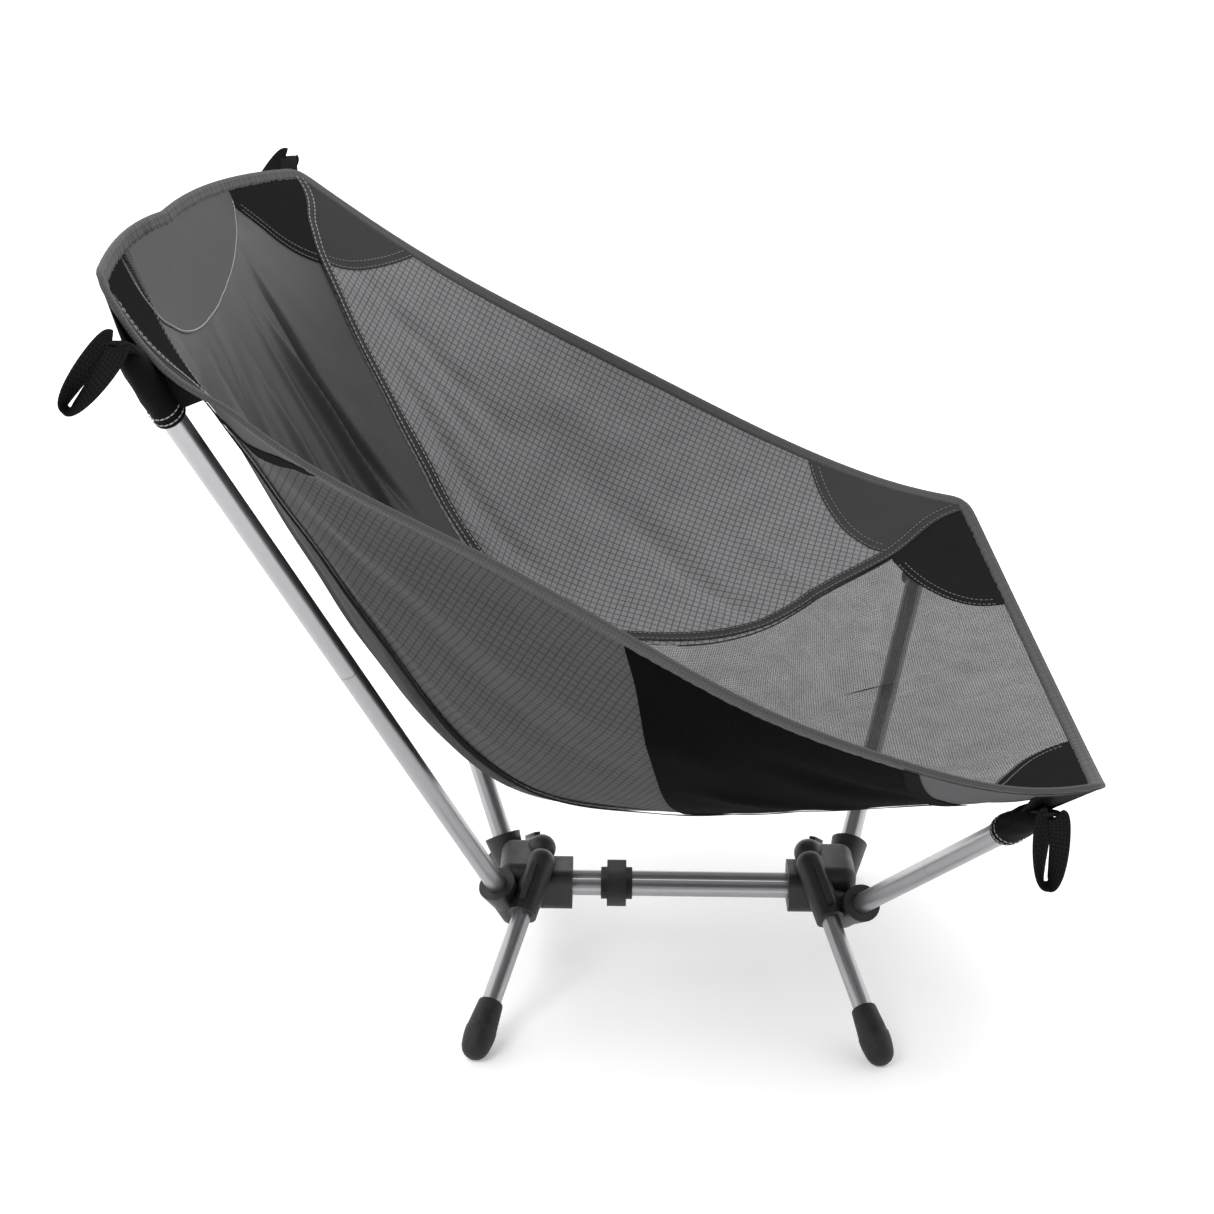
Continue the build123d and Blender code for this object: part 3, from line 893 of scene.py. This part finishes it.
binding_points = (rim_places[:, None, :] + rim_inward[:, None, :] * profile_in[None, :, None]
                  + rim_facing[:, None, :] * (profile_up[None, :] + wave)[..., None])
index = np.arange(rim_count * tape_sides).reshape(rim_count, tape_sides)
ahead, aside = np.roll(index, -1, axis=0), np.roll(index, -1, axis=1)
binding_faces = np.stack([index, aside, np.roll(ahead, -1, axis=1), ahead], axis=-1).reshape(-1, 4)
round_tape = np.linspace(0, 2 * tape_w, tape_sides)
binding_uv = np.stack(np.broadcast_arrays(rim_run[:, None], round_tape[None, :]), axis=-1).reshape(-1, 2)
binding_cloth = cloth(
    "binding_cloth", {"Thread": 0.0011, "Cell": 0.0022, "Line": 0.1}, (0.07, 0.05), (0.55, 0.7), 0.00016, 0.15)
binding = put(
    "edge_binding", binding_points.reshape(-1, 3), binding_faces, binding_cloth, "seat", binding_uv)
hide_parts("binding_back", "binding_front", "binding_side_left", "binding_side_right")


# ---- Pole pockets --------------------------------------------------------
# A black nylon sleeve under each corner takes the tip of a pole. Its mouth is hemmed with two rows of pale
# stitches, and a webbing tab sewn to its closed end carries the pull loop.
def tube_of(rings, name, material, body, uv=None, sharp=50):
    """Closed skin over rings of points, capped with a fan of one face at either end."""
    stations, girth = rings.shape[:2]
    index = np.arange(stations * girth).reshape(stations, girth)
    aside = np.roll(index, -1, axis=1)
    quads = np.stack([index[:-1], aside[:-1], aside[1:], index[1:]], axis=-1).reshape(-1, 4)
    faces = quads.tolist() + [index[0, ::-1].tolist(), index[-1].tolist()]
    return put(name, rings.reshape(-1, 3), faces, material, body, uv, sharp)


def strip_rings(path, wide, thick, half_w, half_t, section, corners_w, corners_t):
    """Rounded-off rectangles along a path, half_w each way along wide and half_t each way along thick.

    A section's angle gives its width by a squared cosine and its thickness by a squared sine.
    """
    flat_w = half_w * squared(np.cos(section), corners_w)
    flat_t = half_t * squared(np.sin(section), corners_t)
    return path[:, None, :] + wide[:, None, :] * flat_w[..., None] + thick[:, None, :] * flat_t[..., None]


def cloth_map(run, girth):
    """UV place in metres for each point of a skin: its run along the rings and its place round them."""
    return np.stack(np.broadcast_arrays(run[:, None], girth[None, :]), axis=-1).reshape(-1, 2)


def node_middle(node):
    """Middle of a CAD node's box."""
    return np.mean(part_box(node), axis=0)


hinges = {joint["name"]: joint for joint in frame["record"]["behaviour"]["joints"]}
pocket_cloth = cloth(
    "pocket_cloth", {"Thread": 0.0009, "Cell": 0.004, "Line": -1.0}, (0.004, 0.008), (0.6, 0.75), 0.00012, 0.03)
webbing = cloth(
    "webbing", {"Thread": 0.0014, "Cell": 0.0021, "Line": 0.16}, (0.004, 0.013), (0.6, 0.75), 0.0003, 0.04)
# The sleeve's profile: places along the pole from its tip, and the sleeve's half width and half thickness there.
sleeve_at = np.array([-26, -26, -38.4, -38.6, -38, -34, -28, -20, -11, -3, 5, 9.5, 11.4, 12.0]) * mm
sleeve_w = np.array([0.5, 7.4, 7.6, 10.2, 10.9, 11.2, 11.5, 11.3, 10.8, 10.0, 9.0, 7.2, 4.6, 1.0]) * mm
sleeve_t = np.array([0.5, 7.3, 7.5, 9.0, 9.3, 9.1, 9.0, 8.8, 8.5, 8.2, 7.4, 5.6, 3.2, 0.8]) * mm
crease_rise = 0.35 * mm
hem_rows, hem_w, hem_t = (-35.0 * mm, -30.5 * mm), 11.45 * mm, 9.4 * mm
pocket_u = {"rear": 0.012, "front": 0.985}
flap_span = {"rear": (0.008, 0.085), "front": (0.992, 0.925)}
flap_rows, flap_columns, flap_half = 16, 9, 0.7 * mm
tab_start, tab_w, tab_end_w, tab_t, tab_arch = 4 * mm, 6.5 * mm, 6 * mm, 1.1 * mm, 2.0 * mm
girth_at = np.linspace(0, 2 * pi, 48, endpoint=False)
round_at = np.linspace(0, 2 * pi, 20, endpoint=False)
for end, name, side in corners:
    along = np.array(hinges[f"pole_pull_{end}_{name}"]["axis"])
    tip = node_middle(f"tip_plug_{end}_{name}")
    facing = stretch_of(np.array([pocket_u[end]]), np.array([0.97 * side]))[2][0]
    facing = unit(facing - along * (facing @ along))
    wide = np.cross(along, facing)
    crease = crease_rise * np.sin(5 * girth_at[None, :] + 3 * side + 260 * sleeve_at[:, None])
    crease *= ((sleeve_at > -37 * mm) & (sleeve_at < 4 * mm))[:, None]
    rings = (tip + along * sleeve_at[:, None, None]
             + wide * ((sleeve_w[:, None] + crease) * np.cos(girth_at))[..., None]
             + facing * ((sleeve_t[:, None] + crease) * np.sin(girth_at))[..., None])
    sleeve = tube_of(rings, f"sleeve_{end}_{name}", pocket_cloth, "seat",
                     cloth_map(sleeve_at, girth_at * 10 * mm))
    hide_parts(f"pocket_{end}_{name}")
    outward = wide * np.cos(round_at)[:, None] + facing * np.sin(round_at)[:, None]
    around = facing * np.cos(round_at)[:, None] - wide * np.sin(round_at)[:, None]
    for row, back_off in enumerate(hem_rows):
        middle = (tip + along * back_off + wide * (hem_w * np.cos(round_at))[:, None]
                  + facing * (hem_t * np.sin(round_at))[:, None])
        beads(f"sleeve_stitch_{row}_{end}_{name}", middle, around, outward, pale_thread)
    on_seat = seat(np.linspace(*flap_span[end], flap_rows), np.full(flap_rows, 0.975 * side), -1.6 * mm)
    on_sleeve = tip + along * np.linspace(10, -37, flap_rows)[:, None] * mm
    blend_at = np.linspace(0, 1, flap_columns)[None, :, None]
    flap = on_seat[:, None, :] * (1 - blend_at) + on_sleeve[:, None, :] * blend_at
    flap_face = unit(np.cross(flap[-1, 0] - flap[0, 0], flap[0, -1] - flap[0, 0])) * flap_half
    flap_points = np.concatenate([flap + flap_face, flap - flap_face]).reshape(-1, 3)
    put(f"corner_flap_{end}_{name}", flap_points, shell_faces(flap_rows, flap_columns), pocket_cloth,
                    "seat", flap_points[:, :2])
    root = np.array(hinges[f"loop_swing_{end}_{name}"]["pos_m"])
    start = tip + along * tab_start
    steps = np.linspace(0, 1, 14)
    centre = start + (root - start) * steps[:, None]
    centre[:, 2] += tab_arch * np.sin(pi * steps)
    ahead = unit(np.gradient(centre, axis=0))
    level_x = unit(np.array([1.0, 0.0, 0.0]) - ahead * ahead[:, :1])
    rings = strip_rings(centre, level_x, np.cross(ahead, level_x), np.linspace(tab_w, tab_end_w, 14)[:, None],
                        np.full((14, 1), tab_t), round_at, 0.4, 0.7)
    tube_of(rings, f"tab_{end}_{name}", webbing, "seat",
                        cloth_map(steps * 18 * mm, squared(np.cos(round_at), 0.4) * tab_w))


# ---- Pull loops ----------------------------------------------------------
# Each corner has a loop of ribbed nylon webbing to pull the seat off its pole by. A loop is one strip folded
# back on itself, and swings where it is sewn to its tab.
loop_length, loop_w, loop_t = 45 * mm, 12.0 * mm, 1.9 * mm
loop_half = {"rear": 6.4 * mm, "front": 6.8 * mm}
loop_lean = {"rear": radians(38), "front": 0.0}
strand_apart = 1.6 * mm
twist_start, twist_by = radians(12), radians(156)
turn = np.linspace(0.04, 2 * pi - 0.04, 140)
section = np.linspace(0, 2 * pi, 64, endpoint=False)
for end, name, side in corners:
    root = np.array(hinges[f"loop_swing_{end}_{name}"]["pos_m"])
    lean = loop_lean[end]
    bulge = np.clip(np.sin(turn / 2), 0, 1)
    strand_x = loop_half[end] * squared(np.cos(turn / 2), 0.65) * (0.30 + 0.85 * bulge**0.9)
    strand_z = -loop_length * (1 - np.cos(turn)) / 2
    path = np.stack([strand_x * cos(lean) + strand_z * sin(lean), strand_apart * np.cos(turn / 2) * side,
                     -strand_x * sin(lean) + strand_z * cos(lean)], axis=1) + root
    ahead = unit(np.gradient(path, axis=0))
    twist = twist_start + twist_by * (0.5 - 0.5 * np.cos(turn / 2))
    across = np.stack([np.cos(twist) * cos(lean), np.sin(twist) * side, -np.cos(twist) * sin(lean)], axis=1)
    across = unit(across - ahead * (across * ahead).sum(axis=1, keepdims=True))
    rings = strip_rings(path, across, np.cross(ahead, across), np.full((len(turn), 1), loop_w / 2),
                        np.full((len(turn), 1), loop_t / 2), section, 0.55, 0.6)
    strip = tube_of(rings, f"pull_loop_{end}_{name}", webbing, f"loop_{end}_{name}",
                    cloth_map(turn * 16 * mm, loop_w / 2 * squared(np.cos(section), 0.55)), sharp=60)
    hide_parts(f"loop_{end}_{name}")


# ---- Feet ----------------------------------------------------------------
# The feet are moulded rubber caps pushed on the legs: a tapered sleeve with a ridge where it swells into
# the round end, which is worn a little flat.
foot_rubber = surface(
    "foot_rubber", moulded, {"Grain": 1800.0, "Cloud": 90.0}, (grey(0.010), grey(0.022)), (0.5, 0.68), 0.0002,
    Specular_IOR_Level=0.3)
sole_height = 8.8 * mm
foot_up = np.array([-9.6, -9.5, -8.9, -7.6, -5.4, -2.6, 0.5, 4, 8, 11.4, 12.0, 12.5, 13.2, 20, 27, 31.2, 32.1,
                    32.4, 32.3, 28, 28]) * mm
foot_radius = np.array([0.3, 1.6, 3.9, 6.1, 8.0, 9.2, 9.8, 10.3, 10.6, 10.55, 10.3, 9.95, 10.05, 9.5, 8.9, 8.55,
                        8.3, 7.7, 6.9, 6.6, 0.3]) * mm
for end, name, _ in corners:
    down = np.array(hinges[f"leg_pull_{end}_{name}"]["axis"])
    leg_middle = node_middle(f"leg_{end}_{name}")
    sole = leg_middle + down * ((sole_height - leg_middle[2]) / down[2])
    across = unit(np.cross(down, np.array([0.0, 0.0, 1.0])))
    ring = across * np.cos(girth_at)[:, None] + np.cross(down, across) * np.sin(girth_at)[:, None]
    rings = sole - down * foot_up[:, None, None] + ring[None] * foot_radius[:, None, None]
    rings[..., 2] = np.maximum(rings[..., 2], 0.0)
    cap = tube_of(rings, f"rubber_foot_{end}_{name}", foot_rubber, f"leg_{end}_{name}", sharp=60)
    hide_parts(f"foot_{end}_{name}")

# ---- Panel areas ---------------------------------------------------------
# Each panel is held stretched between the pole tips. For each, its places on the taut seat and its area
# are worked out.
for piece, u, v in cloth_pieces.values():
    places = taut_seat(u, v)
    round(cut_area(u, v), 4)
